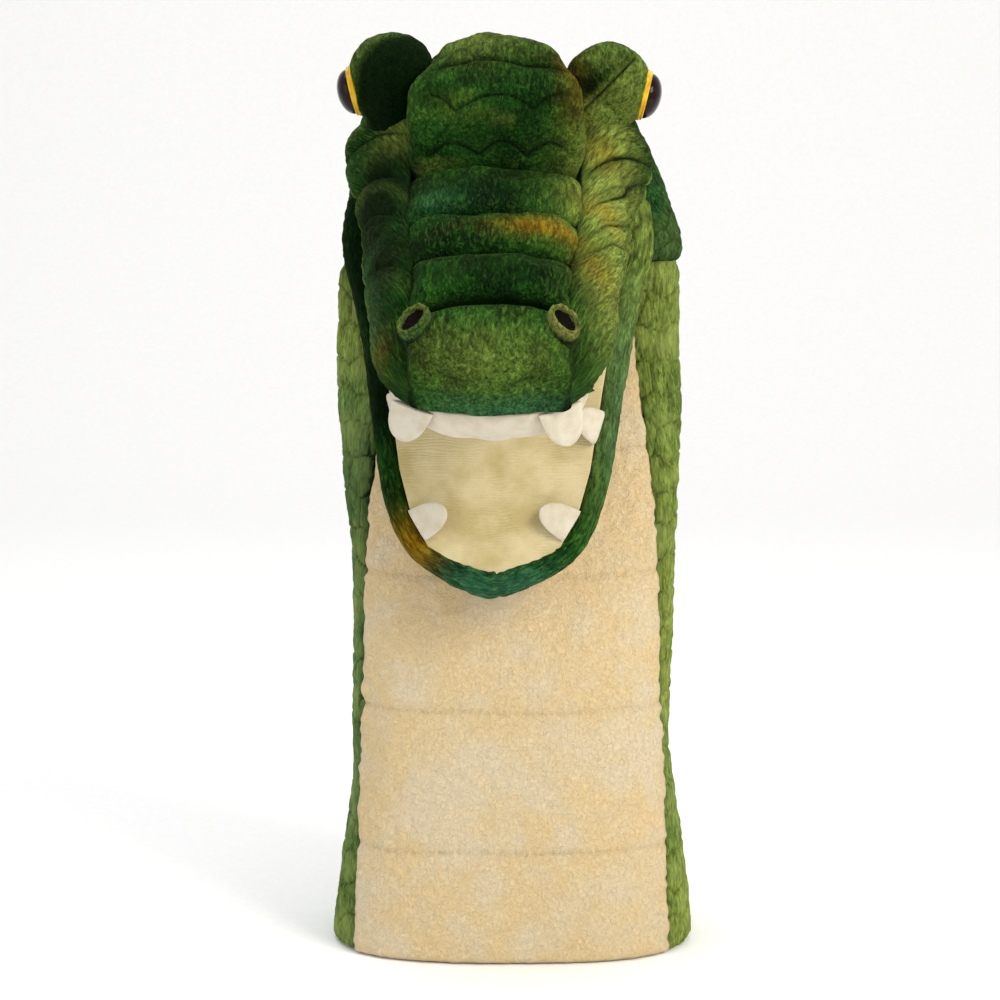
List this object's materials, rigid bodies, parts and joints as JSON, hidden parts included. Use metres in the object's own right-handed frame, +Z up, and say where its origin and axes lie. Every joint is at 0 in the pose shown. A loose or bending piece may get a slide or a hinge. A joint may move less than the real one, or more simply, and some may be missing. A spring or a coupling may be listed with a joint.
{
  "type": "moving mouth hand puppet",
  "caption": "Long-sleeve crocodile hand puppet with hinged upper and lower jaws worked by fingers and thumb, stuffed snout, plastic eyes and felt teeth.",
  "frame": {"origin": "centre of the arm opening, on the plane of the hem", "axes": "+Z up along the sleeve towards the head, -Y the puppet's front, +X to the right of a viewer facing the puppet"},
  "size_m": [0.1538, 0.1966, 0.3883],
  "materials": {
    "green_plush": "matte",
    "cream_fleece": "matte",
    "lining_cloth": "matte",
    "hem_cloth": "matte",
    "pocket_cloth": "matte",
    "white_felt": "matte",
    "mouth_board": "matte",
    "stuffing": "matte",
    "eye_plastic": "gloss",
    "gold_plastic": "gloss",
    "washer_plastic": "matte",
    "nostril_plush": "matte",
    "nostril_cloth": "matte"
  },
  "bodies": {
    "sleeve": {"belly_panel": "cream_fleece", "side_panel_right": "green_plush", "side_panel_left": "green_plush", "hem_facing": "hem_cloth", "sleeve_lining": "lining_cloth"},
    "neck": {"throat_panel": "cream_fleece", "neck_panel_right": "green_plush", "neck_panel_left": "green_plush", "neck_lining": "lining_cloth", "nape_panel": "green_plush", "mouth_fold": "lining_cloth"},
    "upper_jaw": {"cranium_dome": "green_plush", "cranium_stuffing": "stuffing", "snout_roll_rear": "green_plush", "snout_roll_middle": "green_plush", "snout_roll_front": "green_plush", "nose_pad": "green_plush", "nostril_cup_right": "nostril_plush", "nostril_cup_left": "nostril_plush", "nostril_patch_right": "nostril_cloth", "nostril_patch_left": "nostril_cloth", "cheek_right": "green_plush", "cheek_left": "green_plush", "eye_mound_right": "green_plush", "eye_mound_left": "green_plush", "eye_stuffing_right": "stuffing", "eye_stuffing_left": "stuffing", "eye_right": "eye_plastic", "eye_left": "eye_plastic", "eye_rim_right": "gold_plastic", "eye_rim_left": "gold_plastic", "eye_washer_right": "washer_plastic", "eye_washer_left": "washer_plastic", "palate_lining": "lining_cloth", "upper_mouth_plate": "mouth_board", "finger_pocket_floor": "pocket_cloth", "finger_pocket_roof": "pocket_cloth", "gum_band": "white_felt", "upper_tooth_right": "white_felt", "upper_tooth_left": "white_felt"},
    "lower_jaw": {"jaw_lining": "lining_cloth", "lower_mouth_plate": "mouth_board", "thumb_pocket": "pocket_cloth", "jaw_rim": "green_plush", "chin_panel": "cream_fleece", "lower_tooth_right": "white_felt", "lower_tooth_left": "white_felt", "side_tooth_right": "white_felt", "side_tooth_left": "white_felt"}
  },
  "joints": [
    {"name": "head_turn", "type": "hinge", "parent": "sleeve", "child": "neck", "pos_m": [0, 0.004, 0.149], "axis": [0, 0, 1], "range_deg": [-25, 25]},
    {"name": "upper_jaw_hinge", "type": "hinge", "parent": "neck", "child": "upper_jaw", "pos_m": [-0.006, -0.01, 0.319], "axis": [-0.9997, 0.0262, 0], "range_deg": [-13, 40], "deforming": ["nape_panel"]},
    {"name": "lower_jaw_hinge", "type": "hinge", "parent": "neck", "child": "lower_jaw", "pos_m": [-0.006, -0.01, 0.319], "axis": [0.9997, -0.0262, 0], "range_deg": [-13, 6]}
  ]
}
